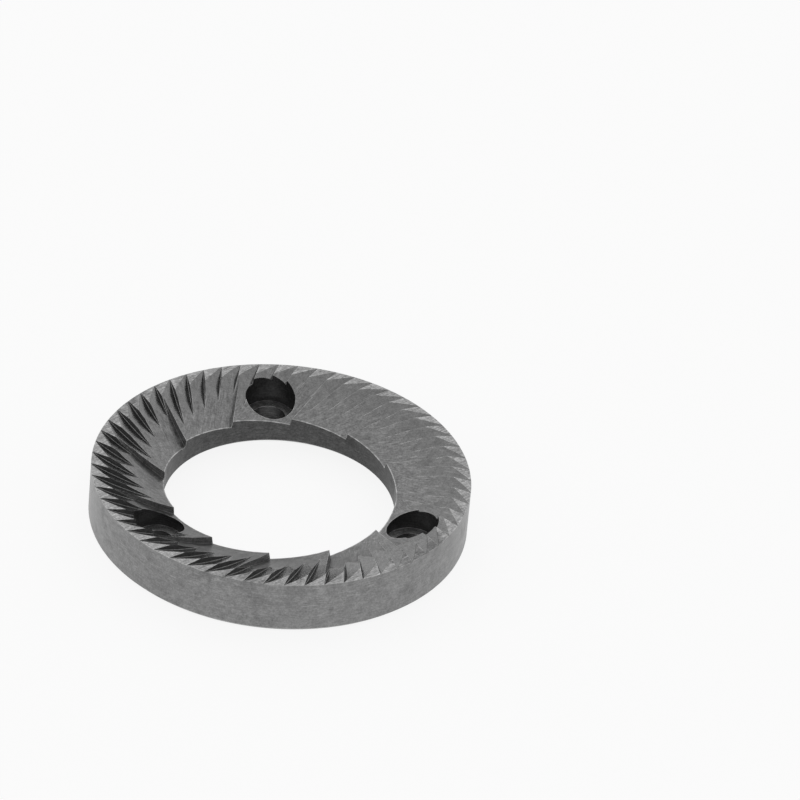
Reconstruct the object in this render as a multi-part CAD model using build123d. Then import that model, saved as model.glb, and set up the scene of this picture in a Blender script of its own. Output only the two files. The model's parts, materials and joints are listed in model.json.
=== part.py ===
from build123d import *
import math
import os

# Flat grinding burr of a coffee grinder: one ring of hardened tool steel, turned all over.
# Its face is ground into coarse steps that draw the beans in and fine teeth that finish the grind.
# Three screws hold it. Z = 0 is the seating face at the back, and the teeth point up along +Z.

# Driving dimensions in millimetres, angles in degrees

# Turned ring
OUTER_DIAMETER = 64.0
HEIGHT = 9.5
BORE_DIAMETER = 39.2
RIM_CHAMFER = 0.7
BORE_CHAMFER = 0.4
SEAT_WIDTH = 2.85
RECESS_DEPTH = 2.0
RECESS_FILLET = 0.8

# Screw holes, counterbored from the toothed face
SCREW_COUNT = 3
SCREW_CIRCLE_DIAMETER = 49.0
SCREW_HOLE_DIAMETER = 5.5
SCREW_HOLE_CHAMFER = 0.2
COUNTERBORE_DIAMETER = 8.6
SCREW_WEB_THICKNESS = 2.05

# Teeth, ground with two disc wheels that have a flat side and a bevelled edge. A tooth line misses
# the ring's centre by its offset. The flat side leans back and leaves the flank, the edge leaves the
# floor at its slope across the tooth line, and the wheel sinks deepest at its reach inside the rim.
COARSE_TOOTH_COUNT = 12
FINE_TEETH_PER_COARSE = 5
COARSE_TOOTH_FROM_SCREW = 8.5
FLANK_LEAN = 10.3
COARSE_LINE_OFFSET = 8.5
COARSE_FLOOR_SLOPE = 16.4
COARSE_WHEEL_DIAMETER = 78.0
COARSE_WHEEL_REACH = 21.95
COARSE_WHEEL_DEPTH = 4.84
FINE_LINE_OFFSET = 10.7
FINE_FLOOR_SLOPE = 24.5
FINE_WHEEL_DIAMETER = 110.0
FINE_WHEEL_REACH = 16.0
FINE_RIM_DEPTH = 0.05

# Cutters run past the surfaces that they leave through by this much
OVERRUN = 1.0

# Values that follow from the driving dimensions
FULL_TURN = 360.0
outer_radius = OUTER_DIAMETER / 2
bore_radius = BORE_DIAMETER / 2
recess_radius = outer_radius - RIM_CHAMFER - SEAT_WIDTH
coarse_wheel_radius = COARSE_WHEEL_DIAMETER / 2
fine_wheel_radius = FINE_WHEEL_DIAMETER / 2
fine_wheel_sink = fine_wheel_radius - math.sqrt(fine_wheel_radius**2 - FINE_WHEEL_REACH**2)
fine_wheel_depth = FINE_RIM_DEPTH + fine_wheel_sink
first_screw_angle = FULL_TURN / 4
screw_pitch = FULL_TURN / SCREW_COUNT
fine_tooth_count = COARSE_TOOTH_COUNT * FINE_TEETH_PER_COARSE
counterbore_seat = RECESS_DEPTH + SCREW_WEB_THICKNESS


def turned_ring():
    """Ring with its relieved back, revolved from the half section."""
    corners = [
        (bore_radius, HEIGHT),
        (outer_radius, HEIGHT),
        (outer_radius, RIM_CHAMFER),
        (outer_radius - RIM_CHAMFER, 0),
        (recess_radius, 0),
        (recess_radius, RECESS_DEPTH),
        (bore_radius + BORE_CHAMFER, RECESS_DEPTH),
        (bore_radius, RECESS_DEPTH + BORE_CHAMFER),
    ]
    recess_corner = (recess_radius, RECESS_DEPTH)
    with BuildPart() as ring:
        with BuildSketch(Plane.XZ) as section:
            with BuildLine():
                Polyline(*corners, close=True)
            make_face()
            fillet(section.vertices().sort_by_distance(recess_corner)[0], RECESS_FILLET)
        revolve(axis=Axis.Z)
    return ring.part


def wheel_cut(rim_angle, offset, floor_slope, radius, reach, depth):
    """Disc wheel standing in the cut that it grinds along one tooth line.

    The tooth line leaves the rim at rim_angle and runs inwards, tangent to the offset circle.
    The wheel's flat side leaves the steep flank, and its bevelled edge leaves the long floor.
    """
    foot_angle = math.radians(rim_angle) + math.acos(offset / outer_radius)
    across = Vector(math.cos(foot_angle), math.sin(foot_angle), 0)
    inward = Vector(-math.sin(foot_angle), math.cos(foot_angle), 0)
    up = Vector(0, 0, 1)
    lean = math.radians(FLANK_LEAN)
    slope = math.radians(floor_slope)
    bevel = slope - lean
    axis = across * math.cos(lean) + up * math.sin(lean)
    up_flank = up * math.cos(lean) - across * math.sin(lean)
    rim_to_foot = math.sqrt(outer_radius**2 - offset**2)
    rim_point = across * offset - inward * rim_to_foot + up * HEIGHT
    centre = rim_point + inward * reach + up_flank * (radius - depth)
    width = depth * math.cos(lean) * math.cos(bevel) / math.sin(slope) + OVERRUN
    end_radius = radius - width * math.tan(bevel)
    wheel = Cone(radius, end_radius, width, align=(Align.CENTER, Align.CENTER, Align.MIN))
    return Plane(centre, x_dir=inward, z_dir=axis) * wheel


def screw_cut(angle):
    """Counterbored screw hole, with its small chamfer at the back."""
    above = HEIGHT + OVERRUN - counterbore_seat
    bottom = (Align.CENTER, Align.CENTER, Align.MIN)
    hole_radius = SCREW_HOLE_DIAMETER / 2
    counterbore = Pos(0, 0, counterbore_seat) * Cylinder(COUNTERBORE_DIAMETER / 2, above, align=bottom)
    hole = Cylinder(hole_radius, counterbore_seat + OVERRUN, align=bottom)
    chamfer_cone = Cone(hole_radius + SCREW_HOLE_CHAMFER, hole_radius, SCREW_HOLE_CHAMFER, align=bottom)
    cut = counterbore + hole + Pos(0, 0, RECESS_DEPTH) * chamfer_cone
    return Rot(0, 0, angle) * Pos(SCREW_CIRCLE_DIAMETER / 2, 0, 0) * cut


burr = turned_ring()

first_tooth_angle = first_screw_angle + COARSE_TOOTH_FROM_SCREW
for tooth in range(COARSE_TOOTH_COUNT):
    angle = first_tooth_angle + tooth * FULL_TURN / COARSE_TOOTH_COUNT
    burr -= wheel_cut(
        angle,
        COARSE_LINE_OFFSET,
        COARSE_FLOOR_SLOPE,
        coarse_wheel_radius,
        COARSE_WHEEL_REACH,
        COARSE_WHEEL_DEPTH,
    )

for tooth in range(fine_tooth_count):
    angle = first_tooth_angle + tooth * FULL_TURN / fine_tooth_count
    burr -= wheel_cut(
        angle,
        FINE_LINE_OFFSET,
        FINE_FLOOR_SLOPE,
        fine_wheel_radius,
        FINE_WHEEL_REACH,
        fine_wheel_depth,
    )

for screw in range(SCREW_COUNT):
    burr -= screw_cut(first_screw_angle + screw * screw_pitch)

os.makedirs("parts", exist_ok=True)
export_step(burr, "parts/grinding_burr.step")
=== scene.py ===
import json
import math

import bmesh
import bpy
from mathutils import Matrix, Vector


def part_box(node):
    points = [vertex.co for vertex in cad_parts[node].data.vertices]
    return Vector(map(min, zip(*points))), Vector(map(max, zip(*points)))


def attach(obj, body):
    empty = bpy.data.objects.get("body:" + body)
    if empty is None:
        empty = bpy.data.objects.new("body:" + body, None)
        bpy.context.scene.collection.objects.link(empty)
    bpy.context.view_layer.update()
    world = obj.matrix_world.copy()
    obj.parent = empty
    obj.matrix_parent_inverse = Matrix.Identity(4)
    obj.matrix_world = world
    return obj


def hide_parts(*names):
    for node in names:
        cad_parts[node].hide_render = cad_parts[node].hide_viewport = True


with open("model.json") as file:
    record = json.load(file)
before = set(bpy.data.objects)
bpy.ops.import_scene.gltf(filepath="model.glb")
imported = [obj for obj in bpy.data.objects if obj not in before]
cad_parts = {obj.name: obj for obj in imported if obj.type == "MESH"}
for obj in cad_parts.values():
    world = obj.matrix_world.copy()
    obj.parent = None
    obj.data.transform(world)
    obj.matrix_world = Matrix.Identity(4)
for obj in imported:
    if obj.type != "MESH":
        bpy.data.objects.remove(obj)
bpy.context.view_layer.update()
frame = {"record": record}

# Turned ring
# One ring of hardened tool steel, turned all over on a lathe and then ground flat on its face. It lies on
# a narrow seat at the back, and inside the seat the back is relieved, with a cove in the corner.
MM = 0.001
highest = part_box("grinding_burr")[1]
mounts = {mount["name"]: mount for mount in frame["record"]["mounts"]}
outer_radius = highest.x
height = highest.z
bore_radius = mounts["bore"]["dims"]["r_mm"] * MM
rim_chamfer = 0.7 * MM
bore_chamfer = 0.4 * MM
seat_width = 2.85 * MM
recess_radius = outer_radius - rim_chamfer - seat_width
recess_depth = 2.0 * MM
recess_cove = 0.8 * MM
cove_points = 14
mesh_pitch = 0.5 * MM
ring_facets = 720
weld_distance = MM / 10000

# A finish is the steel's brightness, its roughness and the strength of its grain and tool marks.
face_ground = (0.345, 0.36, 1.05)
wall_turned = (0.245, 0.36, 0.6)
# The bore's finish is painted dark as shade, for the bore lies in the ring's shade.
shaded_bore_turned = (0.092, 0.45, 0.8)
back_turned = (0.25, 0.42, 0.6)
grinding_way = Vector((math.cos(math.radians(35.0)), math.sin(math.radians(35.0)), 0))
lay_start = 1.0 * MM


def run(points, start, end, finish):
    """Adds the points of a straight run to a section, about a mesh pitch apart."""
    count = max(1, round(math.dist(start, end) / mesh_pitch))
    for number in range(count):
        share = number / count
        radius = start[0] + (end[0] - start[0]) * share
        level = start[1] + (end[1] - start[1]) * share
        points.append((radius, level, finish))


def corner(points, centre, radius, first, last, count, finish):
    """Adds the points of a rounded corner to a section, without its last point."""
    for number in range(count):
        angle = math.radians(first + (last - first) * number / count)
        place = (centre[0] + radius * math.cos(angle), centre[1] + radius * math.sin(angle))
        points.append((*place, finish))


def turned(name, section, facets, sweep=math.tau, start=lay_start):
    """Object whose section is turned about Z, all the way round or as a slice that looks along +X.

    Each face keeps the finish of its part of the section. Tool marks run round the axis, so each corner
    keeps its lay: a place round the axis, and the distance along the section from its start. On a face that
    is ground flat the marks run straight across instead.
    """
    whole = sweep == math.tau
    mesh = bmesh.new()
    finish = mesh.faces.layers.float_vector.new("finish")
    lay = mesh.loops.layers.float_vector.new("lay")
    reach = max(radius for radius, level, kind in section)
    count = len(section)
    rings = []
    for facet in range(facets if whole else facets + 1):
        angle = sweep * (facet / facets - 0.5)
        way = Vector((math.cos(angle), math.sin(angle), 0))
        rings.append((way, [mesh.verts.new((*(way * radius).xy, level)) for radius, level, kind in section]))
    along = [start]
    for here, there in zip(section, section[1:] + section[:1]):
        along.append(along[-1] + math.dist(here[:2], there[:2]))
    for facet in range(facets):
        (way, ring), (next_way, next_ring) = rings[facet], rings[(facet + 1) % len(rings)]
        for place in range(count):
            if section[place][0] == section[(place + 1) % count][0] == 0:
                continue
            beside = (place + 1) % count
            face = mesh.faces.new((ring[place], next_ring[place], next_ring[beside], ring[beside]))
            face[finish] = section[place][2]
            for loop, direction, end in zip(face.loops, (way, next_way, next_way, way), (0, 0, 1, 1)):
                loop[lay] = direction * reach + Vector((0, 0, along[place + end]))
                if section[place][2] is face_ground:
                    spot = loop.vert.co
                    beside_way = lay_start + outer_radius + spot.cross(grinding_way).z
                    loop[lay] = (spot.dot(grinding_way), 0, beside_way)
    if not whole:
        for way, ring in (rings[0], rings[-1]):
            mesh.faces.new(ring)
    bmesh.ops.remove_doubles(mesh, verts=mesh.verts, dist=weld_distance)
    bmesh.ops.recalc_face_normals(mesh, faces=mesh.faces)
    data = bpy.data.meshes.new(name)
    mesh.to_mesh(data)
    mesh.free()
    made = bpy.data.objects.new(name, data)
    bpy.context.scene.collection.objects.link(made)
    return made


section = []
run(section, (bore_radius, height), (outer_radius, height), face_ground)
run(section, (outer_radius, height), (outer_radius, rim_chamfer), wall_turned)
run(section, (outer_radius, rim_chamfer), (outer_radius - rim_chamfer, 0), wall_turned)
run(section, (outer_radius - rim_chamfer, 0), (recess_radius, 0), face_ground)
run(section, (recess_radius, 0), (recess_radius, recess_depth - recess_cove), back_turned)
cove_centre = (recess_radius - recess_cove, recess_depth - recess_cove)
corner(section, cove_centre, recess_cove, 0, 90, cove_points, back_turned)
chamfer_back = (bore_radius + bore_chamfer, recess_depth)
chamfer_bore = (bore_radius, recess_depth + bore_chamfer)
run(section, (cove_centre[0], recess_depth), chamfer_back, back_turned)
run(section, chamfer_back, chamfer_bore, shaded_bore_turned)
run(section, chamfer_bore, (bore_radius, height), shaded_bore_turned)
burr = turned("burr", section, ring_facets)

# Burr steel
# Hardened tool steel, left bare. It is satin grey, with the fine marks of the tool or wheel that made each
# face, a dull grain, scratches, dark pits, faint stains from use, and painted highlights on its edges and
# roots.
# Painted highlights on the edges and at the mouth of the bore: how bright they are, and how fully they
# lighten.
highlight_bright, highlight_share = 0.62, 0.9
highlight_width = 0.20 * MM
mouth_width, mouth_core = 0.21 * MM, 0.10 * MM
root_width, root_core = 0.10 * MM, 0.03 * MM
edge_round = 0.04 * MM
relief_depth, relief_strength = 0.03 * MM, 0.6
# How often a pattern repeats in a metre. Marks and scratches are long, and narrow across their lay.
mark_rate = (300.0, 300.0, 6000.0)
scratch_rate = (110.0, 110.0, 2600.0)
grain_rate, blotch_rate, cloud_rate, pit_rate = 3000.0, 900.0, 260.0, 4000.0
# How fast marks and scratches change on the way round the ring, to a radian.
mark_change, scratch_change = 20.0, 9.0
# Scratches, stains and pits are the highest parts of a noise, and fade in between two of its values.
scratch_ends, stain_ends, pit_ends = (0.62, 0.74), (0.50, 0.75), (0.70, 0.78)
# Painted highlights fade in at edges as normals part, at the mouth as it faces up, at roots as marks weaken.
edge_ends, mouth_ends, weak_ends = (0.99, 0.85), (0.4, 0.7), (0.79, 0.71)
# The highlights are uneven: two values of the blotches or of the marks, and how much of them is left at
# each.
edge_gaps, mouth_gaps, mark_gaps = (0.38, 0.62, 0.3, 1.0), (0.35, 0.60, 0.25, 0.8), (0.5, 0.8, 0.2, 1.0)
# Patches of the lands: degrees round the ring, reach, how much more they are pitted and how much darker.
land_patches = (
    (140.0, 5.0 * MM, 0.06, 0.18),
    (155.0, 5.0 * MM, 0.12, 0.0),
    (258.0, 8.0 * MM, 0.07, 0.13),
    (314.0, 7.0 * MM, 0.08, 0.42),
)
# Patches on the outer wall: degrees round the ring, height, reach and how much darker they are.
wall_patches = (
    (241.0, 8.8 * MM, 2.5 * MM, 0.16),
    (256.0, 8.7 * MM, 3.6 * MM, 0.14),
    (271.0, 8.9 * MM, 3.0 * MM, 0.12),
    (261.0, 2.0 * MM, 2.8 * MM, 0.12),
    (281.4, 4.2 * MM, 0.5 * MM, 0.16),
    (277.6, 8.1 * MM, 1.1 * MM, -0.15),
    (303.0, 6.8 * MM, 3.2 * MM, -0.08),
)
steel = bpy.data.materials.new("burr_steel")
steel.use_nodes = True
links = steel.node_tree.links
shader = steel.node_tree.nodes["Principled BSDF"]
shader.inputs["Metallic"].default_value = 1.0


def step(tree, kind, inputs, **settings):
    """New node of a tree. An input is either another node's output or a plain value."""
    made = tree.nodes.new(kind)
    for name, value in settings.items():
        setattr(made, name, value)
    for name, value in inputs.items():
        if isinstance(value, bpy.types.NodeSocket):
            tree.links.new(value, made.inputs[name])
        else:
            made.inputs[name].default_value = value
    return made


def reckon(operation, first, second=0.0, third=0.0):
    """Output of a Math node of the steel."""
    values = {0: first, 1: second, 2: third}
    return step(steel.node_tree, "ShaderNodeMath", values, operation=operation).outputs[0]


def grain(vector, scale, detail, roughness=0.5, **inputs):
    """Output of a noise of the steel, about 0.5 on the whole."""
    sizes = {"Vector": vector, "Scale": scale, "Detail": detail, "Roughness": roughness, **inputs}
    space = "4D" if "W" in inputs else "3D"
    return step(steel.node_tree, "ShaderNodeTexNoise", sizes, noise_dimensions=space).outputs["Fac"]


def swing(noise):
    """Output that is how far a noise lies above or below its middle."""
    return reckon("SUBTRACT", noise, 0.5)


def between(value, low, high, least=0.0, most=1.0):
    """Output that goes smoothly from least to most as value goes from low to high."""
    ends = {"Value": value, "From Min": low, "From Max": high, "To Min": least, "To Max": most}
    kind = "ShaderNodeMapRange"
    return step(steel.node_tree, kind, ends, interpolation_type="SMOOTHSTEP").outputs["Result"]


place = step(steel.node_tree, "ShaderNodeTexCoord", {}).outputs["Object"]
finish_kept = step(steel.node_tree, "ShaderNodeAttribute", {}, attribute_name="finish").outputs["Vector"]
lay_kept = step(steel.node_tree, "ShaderNodeAttribute", {}, attribute_name="lay").outputs["Vector"]
bright, rough, marked = step(steel.node_tree, "ShaderNodeSeparateXYZ", {"Vector": finish_kept}).outputs[:3]
east, north, level = step(steel.node_tree, "ShaderNodeSeparateXYZ", {"Vector": place}).outputs[:3]
turn = reckon("ARCTAN2", north, east)

mark_lay = {"Vector": lay_kept, "Scale": mark_rate}
mark_place = step(steel.node_tree, "ShaderNodeMapping", mark_lay).outputs[0]
marks = grain(mark_place, 1.0, 3.0, W=reckon("MULTIPLY", turn, mark_change))
scratch_lay = {"Vector": lay_kept, "Scale": scratch_rate}
scratch_place = step(steel.node_tree, "ShaderNodeMapping", scratch_lay).outputs[0]
scratching = grain(scratch_place, 1.0, 2.0, W=reckon("MULTIPLY", turn, scratch_change))
scratches = between(scratching, *scratch_ends)
dull_grain = grain(place, grain_rate, 4.0, 0.65)
blotch = grain(place, blotch_rate, 2.0)
cloud = grain(place, cloud_rate, 4.0, 0.6)
stain = between(cloud, *stain_ends)


def patch(degrees, radius, height_above, reach, core=0.3):
    """Output that is 1 about a place on the burr, in its core, and fades raggedly to 0 at its reach."""
    angle = math.radians(degrees)
    middle = (radius * math.cos(angle), radius * math.sin(angle), height_above)
    away = step(steel.node_tree, "ShaderNodeVectorMath", {0: place, 1: middle}, operation="DISTANCE")
    ragged = reckon("MULTIPLY_ADD", swing(blotch), reach, away.outputs["Value"])
    return between(ragged, reach, core * reach)


land_middle = 0.95 * outer_radius
land_fade, land_whole, land_core = 0.10 * MM, 0.03 * MM, 0.7
on_lands = between(level, height - land_fade, height - land_whole)
pitting = grain(place, pit_rate, 2.0)
# Patches of the lands are darker and more pitted.
land_darkening = 0.0
for degrees, reach, more_pits, darker in land_patches:
    in_land_patch = reckon("MULTIPLY", patch(degrees, land_middle, height, reach, land_core), on_lands)
    pitting = reckon("MULTIPLY_ADD", in_land_patch, more_pits, pitting)
    land_darkening = reckon("MULTIPLY_ADD", in_land_patch, darker, land_darkening)
pits = between(pitting, *pit_ends)

# Near an edge a rounded normal leans away from the true one. A painted highlight along edges leaves out
# flanks and groove roots, comes and goes along an edge, and shows least on the faces with the weakest marks.
lay_across = step(steel.node_tree, "ShaderNodeSeparateXYZ", {"Vector": lay_kept}).outputs["Z"]
soft_edge = step(steel.node_tree, "ShaderNodeBevel", {"Radius": highlight_width}, samples=8).outputs[0]
true_normal = step(steel.node_tree, "ShaderNodeNewGeometry", {}).outputs["Normal"]
normals = {0: soft_edge, 1: true_normal}
meeting = step(steel.node_tree, "ShaderNodeVectorMath", normals, operation="DOT_PRODUCT").outputs["Value"]
edge_near = between(meeting, *edge_ends)
off_root = between(lay_across, root_width, 3 * root_width)
uneven = reckon("MULTIPLY", between(blotch, *edge_gaps), between(marked, *mark_gaps))
edge_highlights = reckon("MULTIPLY", edge_near, reckon("MULTIPLY", off_root, uneven))

# The mouth of the bore, where the beans fall in, gets the brightest painted highlight.
from_axis_way = step(steel.node_tree, "ShaderNodeCombineXYZ", {"X": east, "Y": north}).outputs[0]
from_axis = step(steel.node_tree, "ShaderNodeVectorMath", {0: from_axis_way}, operation="LENGTH")
at_mouth = between(from_axis.outputs["Value"], bore_radius + mouth_width, bore_radius + mouth_core)
facing_up = step(steel.node_tree, "ShaderNodeSeparateXYZ", {"Vector": true_normal}).outputs["Z"]
mouth = reckon("MULTIPLY", at_mouth, between(facing_up, *mouth_ends))
mouth_highlight = reckon("MULTIPLY", mouth, between(blotch, *mouth_gaps))
painted_highlights = reckon("MAXIMUM", edge_highlights, mouth_highlight)

# A thin painted highlight runs along the fine grooves' roots; these grooves have weaker marks than the
# coarse.
at_root = between(reckon("ABSOLUTE", lay_across), root_width, root_core)
painted_root_highlight = reckon("MULTIPLY", at_root, between(marked, *weak_ends))

# Each of these makes the steel lighter or darker by a share of itself.
tone = bright
for share, change in (
    (reckon("MULTIPLY", swing(marks), reckon("MULTIPLY", marked, marked)), 2.0),
    (reckon("MULTIPLY", swing(dull_grain), marked), 2.1),
    (swing(blotch), 0.5),
    (reckon("MULTIPLY", scratches, marked), 0.45),
    (swing(cloud), 0.6),
    (stain, -0.28),
    (land_darkening, -1.0),
    (pits, -0.5),
    (painted_root_highlight, 0.8),
):
    tone = reckon("MULTIPLY", tone, reckon("MULTIPLY_ADD", share, change, 1.0))
# Patches make the outer wall darker, or lighter where the value is below 0.
for degrees, patch_height, reach, darker in wall_patches:
    wall_patch = patch(degrees, outer_radius, patch_height, reach)
    tone = reckon("MULTIPLY", tone, reckon("MULTIPLY_ADD", wall_patch, -darker, 1.0))
# The painted highlights lighten the steel towards their own brightness.
highlight_amount = reckon("MULTIPLY", painted_highlights, highlight_share)
tone = reckon("MULTIPLY_ADD", highlight_amount, reckon("SUBTRACT", highlight_bright, tone), tone)
colour = step(steel.node_tree, "ShaderNodeCombineColor", {0: tone, 1: tone, 2: tone}).outputs[0]
links.new(colour, shader.inputs["Base Color"])
roughness = reckon("MULTIPLY_ADD", swing(dull_grain), 0.3, rough)
links.new(reckon("MULTIPLY_ADD", stain, 0.1, roughness), shader.inputs["Roughness"])
relief = reckon("MULTIPLY_ADD", marks, marked, reckon("MULTIPLY_ADD", pits, -1.0, dull_grain))
round_edge = step(steel.node_tree, "ShaderNodeBevel", {"Radius": edge_round}, samples=4).outputs[0]
bump = {"Height": relief, "Distance": relief_depth, "Strength": relief_strength, "Normal": round_edge}
links.new(step(steel.node_tree, "ShaderNodeBump", bump).outputs[0], shader.inputs["Normal"])

# Coarse steps and fine teeth
# Both are ground into the hardened face by disc wheels with a bevelled edge. The flat side of a wheel leaves
# the steep flank, and its edge leaves the long curved floor. The ring is indexed from tooth to tooth.
coarse_count = 12
fine_per_coarse = 5
fine_count = coarse_count * fine_per_coarse
first_screw_angle = math.radians(90.0)
tooth_from_screw = math.radians(8.5)
first_tooth_angle = first_screw_angle + tooth_from_screw
flank_lean = math.radians(10.3)
coarse_offset, coarse_slope = 8.5 * MM, math.radians(16.4)
coarse_radius, coarse_reach, coarse_depth = 39.0 * MM, 21.95 * MM, 4.84 * MM
fine_offset, fine_slope = 10.7 * MM, math.radians(24.5)
fine_radius, fine_reach, fine_rim_depth = 55.0 * MM, 16.0 * MM, 0.05 * MM
fine_depth = fine_rim_depth + fine_radius - math.sqrt(fine_radius**2 - fine_reach**2)
coarse_floor = (0.215, 0.36, 0.8)
coarse_flank = (0.20, 0.50, 0.9)
fine_floor = (0.207, 0.21, 0.55)
# The fine flanks are painted dark as the shade in their narrow grooves.
shaded_fine_flank = (0.12, 0.55, 0.7)
wheel_corner = 0.04 * MM
corner_points = 4
spare = 2.0 * MM

cuts = bpy.data.node_groups.new("cut_round_the_ring", "GeometryNodeTree")
cut_inputs = {}
for name, kind in (
    ("Ring", "NodeSocketGeometry"),
    ("Cutter", "NodeSocketObject"),
    ("Lean", "NodeSocketFloat"),
    ("Centre", "NodeSocketVector"),
    ("Count", "NodeSocketInt"),
    ("First Turn", "NodeSocketFloat"),
    ("Steel", "NodeSocketMaterial"),
):
    cut_inputs[name] = cuts.interface.new_socket(name, in_out="INPUT", socket_type=kind).identifier
cuts.interface.new_socket("Ring", in_out="OUTPUT", socket_type="NodeSocketGeometry")
given = step(cuts, "NodeGroupInput", {}).outputs
cutter = step(cuts, "GeometryNodeObjectInfo", {"Object": given["Cutter"]}).outputs["Geometry"]
lean = step(cuts, "ShaderNodeCombineXYZ", {"Y": given["Lean"]}).outputs[0]
held = {"Geometry": cutter, "Translation": given["Centre"], "Rotation": lean}
cutter_held = step(cuts, "GeometryNodeTransform", held).outputs[0]
stations = step(cuts, "GeometryNodePoints", {"Count": given["Count"]}).outputs[0]
number = step(cuts, "GeometryNodeInputIndex", {}).outputs[0]
pitch = step(cuts, "ShaderNodeMath", {0: math.tau, 1: given["Count"]}, operation="DIVIDE").outputs[0]
indexed = {0: number, 1: pitch, 2: given["First Turn"]}
turned_by = step(cuts, "ShaderNodeMath", indexed, operation="MULTIPLY_ADD").outputs[0]
about_axis = step(cuts, "ShaderNodeCombineXYZ", {"Z": turned_by}).outputs[0]
cutters = {"Points": stations, "Instance": cutter_held, "Rotation": about_axis}
all_cutters = step(cuts, "GeometryNodeInstanceOnPoints", cutters).outputs[0]
meshes = {"Mesh 1": given["Ring"], "Mesh 2": all_cutters}
less = {"operation": "DIFFERENCE", "solver": "MANIFOLD"}
cut_ring = step(cuts, "GeometryNodeMeshBoolean", meshes, **less).outputs["Mesh"]
real_ring = step(cuts, "GeometryNodeRealizeInstances", {"Geometry": cut_ring}).outputs[0]
in_steel = {"Geometry": real_ring, "Material": given["Steel"]}
steel_ring = step(cuts, "GeometryNodeSetMaterial", in_steel).outputs[0]
step(cuts, "NodeGroupOutput", {"Ring": steel_ring})


def cut(cutter, lean, centre, count, first_turn):
    """Adds the cuts of one cutter, repeated round the ring."""
    modifier = burr.modifiers.new(cutter.name, "NODES")
    modifier.node_group = cuts
    sizes = (cutter, lean, centre, count, first_turn, steel)
    for name, value in zip(("Cutter", "Lean", "Centre", "Count", "First Turn", "Steel"), sizes):
        modifier[cut_inputs[name]] = value


def grind(name, offset, slope, radius, reach, depth, count, flank, floor):
    """Cuts one ring of teeth with a slice of a wheel, whose corner is a little rounded."""
    bevel = slope - flank_lean
    width = depth * math.cos(flank_lean) * math.cos(bevel) / math.sin(slope) + spare
    inner = radius - depth - spare
    # The rounding touches the flat side at its foot and the bevelled edge at its shoulder.
    foot = radius - wheel_corner * (1 + math.sin(bevel)) / math.cos(bevel)
    wheel = []
    run(wheel, (inner, 0), (foot, 0), flank)
    turn_end = math.degrees(bevel)
    corner(wheel, (foot, wheel_corner), wheel_corner, -90, turn_end, corner_points, floor)
    shoulder = (foot + wheel_corner * math.cos(bevel), wheel_corner * (1 + math.sin(bevel)))
    far_edge = (radius - width * math.tan(bevel), width)
    run(wheel, shoulder, far_edge, floor)
    wheel.append((*far_edge, floor))
    wheel.append((inner, width, floor))
    half = math.acos((radius - depth) / radius) + spare / radius
    facets = round(2 * half * radius / mesh_pitch)
    cutter = turned(name, wheel, facets, 2 * half, inner - foot)
    rim_to_foot = math.sqrt(outer_radius**2 - offset**2)
    up_flank = Vector((-math.sin(flank_lean), 0, math.cos(flank_lean)))
    centre = Vector((offset, reach - rim_to_foot, height)) + up_flank * (radius - depth)
    first_turn = first_tooth_angle + math.acos(offset / outer_radius)
    cut(cutter, math.pi / 2 - flank_lean, centre, count, first_turn)
    return cutter


coarse_sizes = (coarse_offset, coarse_slope, coarse_radius, coarse_reach, coarse_depth, coarse_count)
coarse_wheel = grind("coarse_wheel", *coarse_sizes, coarse_flank, coarse_floor)
fine_sizes = (fine_offset, fine_slope, fine_radius, fine_reach, fine_depth, fine_count)
fine_wheel = grind("fine_wheel", *fine_sizes, shaded_fine_flank, fine_floor)

# Screw holes
# Three holes for cheese-head screws, drilled before the ring was hardened and counterbored from the face,
# so that the heads sink below the teeth. At the back each hole has a small chamfer in a faint spot face.
screws = mounts["screw_holes"]["dims"]
screw_circle = screws["pcd_mm"] / 2 * MM
screw_hole = screws["hole_r_mm"] * MM
screw_seat = mounts["screw_holes"]["pos_m"][2]
counterbore = 4.3 * MM
hole_chamfer = 0.2 * MM
spot_radius = 3.6 * MM
spot_depth = 0.02 * MM
hole_facets = 128
# The walls of the holes are painted dark as the shade inside them.
shaded_hole_bored = (0.085, 0.50, 0.8)
shaded_hole_drilled = (0.12, 0.50, 0.8)
seat_faced = (0.36, 0.42, 1.0)
spot_faced = (0.21, 0.36, 0.5)
drill = []
run(drill, (counterbore, height + spare), (counterbore, screw_seat), shaded_hole_bored)
run(drill, (counterbore, screw_seat), (screw_hole, screw_seat), seat_faced)
run(drill, (screw_hole, screw_seat), (screw_hole, recess_depth + hole_chamfer), shaded_hole_drilled)
spot_level = recess_depth + spot_depth
run(drill, (screw_hole, recess_depth + hole_chamfer), (screw_hole + hole_chamfer, spot_level), seat_faced)
run(drill, (screw_hole + hole_chamfer, spot_level), (spot_radius, spot_level), spot_faced)
drill.append((spot_radius, spot_level, spot_faced))
drill.append((spot_radius, recess_depth - spare, spot_faced))
drill.append((0, recess_depth - spare, spot_faced))
drill.append((0, height + spare, shaded_hole_bored))
screw_drill = turned("screw_drill", drill, hole_facets)
cut(screw_drill, 0.0, Vector((screw_circle, 0, 0)), screws["count"], first_screw_angle)

# Finished burr
# The ring with all its cuts, as one solid piece of steel.
sharp_angle = math.radians(9.0)
scene = bpy.context.scene
depsgraph = bpy.context.evaluated_depsgraph_get()
ground = bpy.data.meshes.new_from_object(burr.evaluated_get(depsgraph), depsgraph=depsgraph)
burr.modifiers.clear()
burr.data = ground
ground.shade_smooth()
ground.set_sharp_from_angle(angle=sharp_angle)
for tool in (coarse_wheel, fine_wheel, screw_drill):
    bpy.data.objects.remove(tool)
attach(burr, "root")
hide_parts("grinding_burr")

# Floor
# A plain white table top, which shows as white but keeps the soft shadow of the burr.
floor_half = 1.5
floor_white = (0.9, 0.9, 0.9, 1.0)
shadow_share = 0.12
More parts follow.
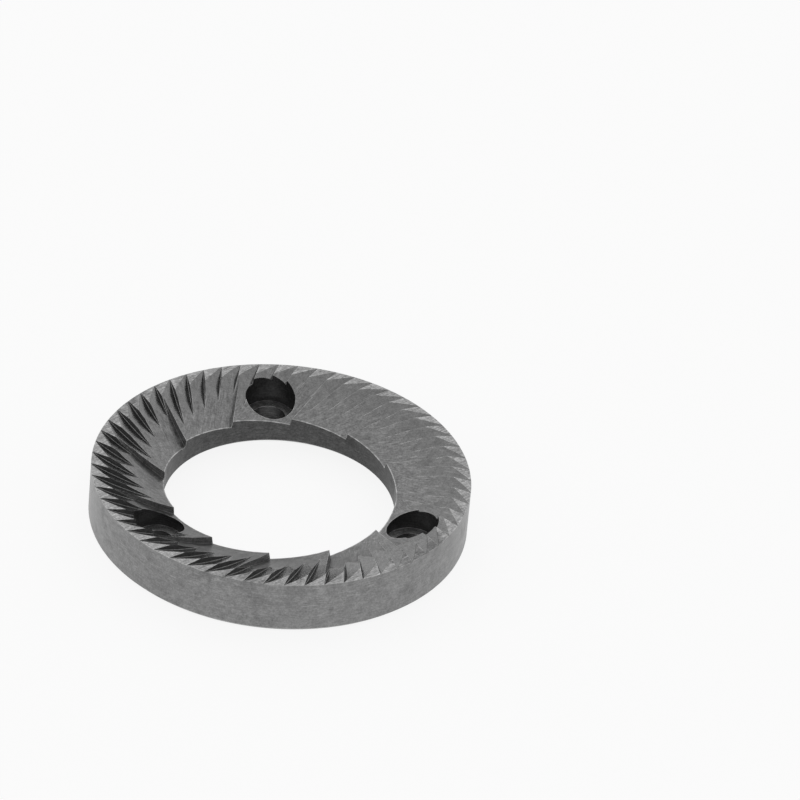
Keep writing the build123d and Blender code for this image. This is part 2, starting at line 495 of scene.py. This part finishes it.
# Under the burr the table keeps its shade: from one radius, wholly from the next, and out to the seat.
covered_from, covered_whole, covered_to = 22.3 * MM, 24.5 * MM, outer_radius - rim_chamfer - 0.5 * MM
floor_mesh = bpy.data.meshes.new("floor")
floor_corners = [(x * floor_half, y * floor_half, 0) for x, y in ((-1, -1), (1, -1), (1, 1), (-1, 1))]
floor_mesh.from_pydata(floor_corners, [], [(0, 1, 2, 3)])
floor = bpy.data.objects.new("floor", floor_mesh)
scene.collection.objects.link(floor)
paper = bpy.data.materials.new("white_table")
paper.use_nodes = True
sheet = paper.node_tree
sheet.nodes.clear()
rays = step(sheet, "ShaderNodeLightPath", {}).outputs
straight_or_mirrored = {0: rays["Is Camera Ray"], 1: rays["Is Glossy Ray"]}
either = step(sheet, "ShaderNodeMath", straight_or_mirrored, operation="ADD").outputs[0]
any_way = {0: either, 1: rays["Is Transmission Ray"]}
seen = step(sheet, "ShaderNodeMath", any_way, operation="ADD", use_clamp=True).outputs[0]
floor_place = step(sheet, "ShaderNodeTexCoord", {}).outputs["Object"]
floor_radius = step(sheet, "ShaderNodeVectorMath", {0: floor_place}, operation="LENGTH").outputs["Value"]
bore_ends = {"From Min": covered_from, "From Max": covered_whole, "To Min": 1.0, "To Max": 0.0}
bore_fade = {"Value": floor_radius, **bore_ends}
in_bore = step(sheet, "ShaderNodeMapRange", bore_fade, interpolation_type="SMOOTHSTEP").outputs["Result"]
past_seat = {0: floor_radius, 1: covered_to}
outside = step(sheet, "ShaderNodeMath", past_seat, operation="GREATER_THAN").outputs[0]
uncovered = step(sheet, "ShaderNodeMath", {0: in_bore, 1: outside}, operation="MAXIMUM").outputs[0]
seen_open = step(sheet, "ShaderNodeMath", {0: seen, 1: uncovered}, operation="MULTIPLY").outputs[0]
less_shadow = {0: seen_open, 1: 1 - shadow_share}
white_share = step(sheet, "ShaderNodeMath", less_shadow, operation="MULTIPLY").outputs[0]
lit = step(sheet, "ShaderNodeBsdfDiffuse", {"Color": floor_white}).outputs[0]
white = step(sheet, "ShaderNodeEmission", {"Color": (1, 1, 1, 1), "Strength": 1.0}).outputs[0]
mixed = step(sheet, "ShaderNodeMixShader", {0: white_share, 1: lit, 2: white}).outputs[0]
step(sheet, "ShaderNodeOutputMaterial", {"Surface": mixed})
floor_mesh.materials.append(paper)

# Light
# A soft sky all round, with one broad glow behind the burr.
glow_round = math.radians(95.0)
glow_height = math.radians(30.0)
glow_strength = 0.40
dim_strength = 0.60
glow_spread = 1.0
world = bpy.data.worlds.new("studio")
world.use_nodes = True
sky = world.node_tree
scene.world = world
way = step(sky, "ShaderNodeTexCoord", {}).outputs["Generated"]
flat = math.cos(glow_height)
glow_way = (math.cos(glow_round) * flat, math.sin(glow_round) * flat, math.sin(glow_height))
facing = step(sky, "ShaderNodeVectorMath", {0: way, 1: glow_way}, operation="DOT_PRODUCT").outputs["Value"]
towards = step(sky, "ShaderNodeMath", {0: facing, 1: 0.0}, operation="MAXIMUM").outputs[0]
lobe = step(sky, "ShaderNodeMath", {0: towards, 1: glow_spread}, operation="POWER").outputs[0]
light = {0: lobe, 1: glow_strength, 2: dim_strength}
strength = step(sky, "ShaderNodeMath", light, operation="MULTIPLY_ADD").outputs[0]
sky.links.new(strength, sky.nodes["Background"].inputs["Strength"])
sky.nodes["Background"].inputs["Color"].default_value = (1, 1, 1, 1)

# Camera
# It looks down on the toothed face over the near rim, from the far end of a long lens.
image_width = 800
focal_pixels = 6500.0
centre_pixel = (277.75, 518.02)
camera_height = math.radians(35.65)
camera_roll = math.radians(-4.69)
camera_round = math.radians(-6.86)
camera_distance = 1097.7 * MM
back_way = Vector((0, -math.cos(camera_height), math.sin(camera_height)))
right_way = Vector((1, 0, 0))
level_view = Matrix((right_way, back_way.cross(right_way), back_way)).transposed()
off_centre = [pixel - image_width / 2 for pixel in centre_pixel]
sight = Vector((off_centre[0] / focal_pixels, -off_centre[1] / focal_pixels, -1)).normalized()
aim = Vector((0, 0, -1)).rotation_difference(sight).to_matrix()
view = level_view @ (aim @ Matrix.Rotation(camera_roll, 3, "Z")).transposed()
walk = Matrix.Rotation(camera_round, 3, "Z")
camera = bpy.data.objects.new("camera", bpy.data.cameras.new("camera"))
camera.data.sensor_width = 36.0
camera.data.lens = camera.data.sensor_width * focal_pixels / image_width
camera.data.clip_start = 0.01
camera.matrix_world = Matrix.Translation(walk @ (back_way * camera_distance)) @ (walk @ view).to_4x4()
scene.collection.objects.link(camera)
scene.camera = camera
scene.view_settings.view_transform = "Standard"
